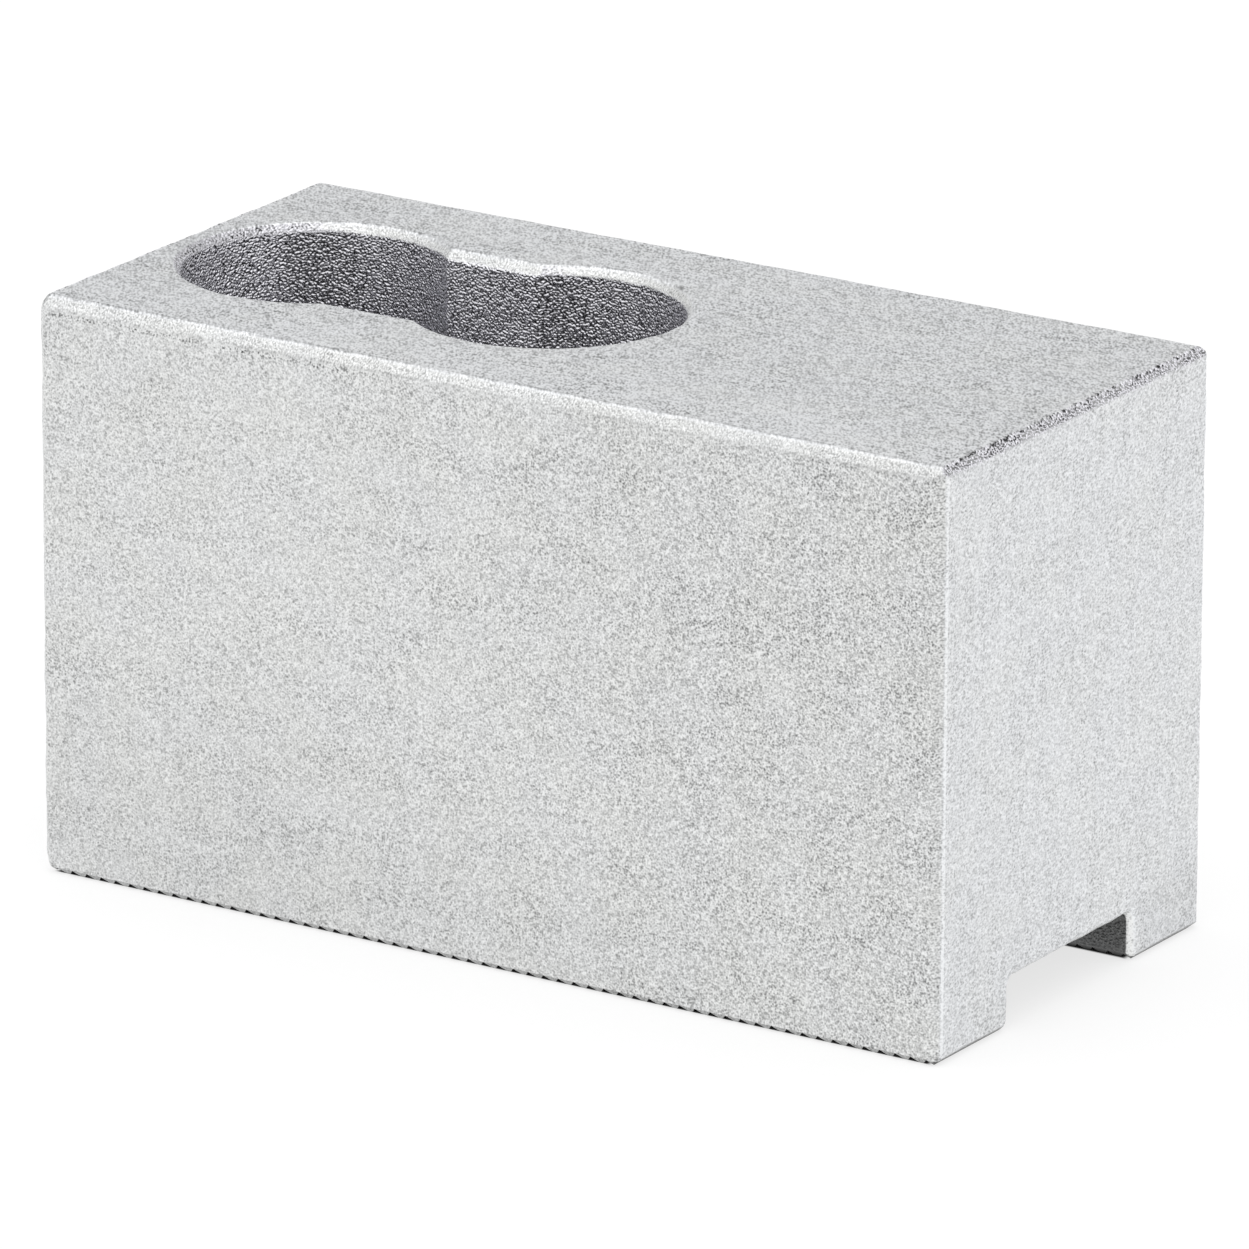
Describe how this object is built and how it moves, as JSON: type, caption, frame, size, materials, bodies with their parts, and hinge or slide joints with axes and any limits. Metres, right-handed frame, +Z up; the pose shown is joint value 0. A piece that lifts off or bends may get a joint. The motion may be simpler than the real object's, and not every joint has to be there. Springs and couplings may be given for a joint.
{
  "type": "soft top jaw",
  "caption": "Machinable steel block jaw for a power chuck, with a serrated base, a key groove and a counterbored screw pocket.",
  "frame": {"origin": "middle of the base, on the crests of the serration", "axes": "+X along the chuck's radius, from the end with the screw pocket to the plain end; +Y across the jaw; +Z up, away from the master jaw"},
  "size_m": [0.095, 0.045, 0.0542],
  "materials": {
    "blasted_steel": "fine blasted, matt"
  },
  "bodies": {
    "root": {"soft_jaw": "blasted_steel"}
  },
  "joints": []
}
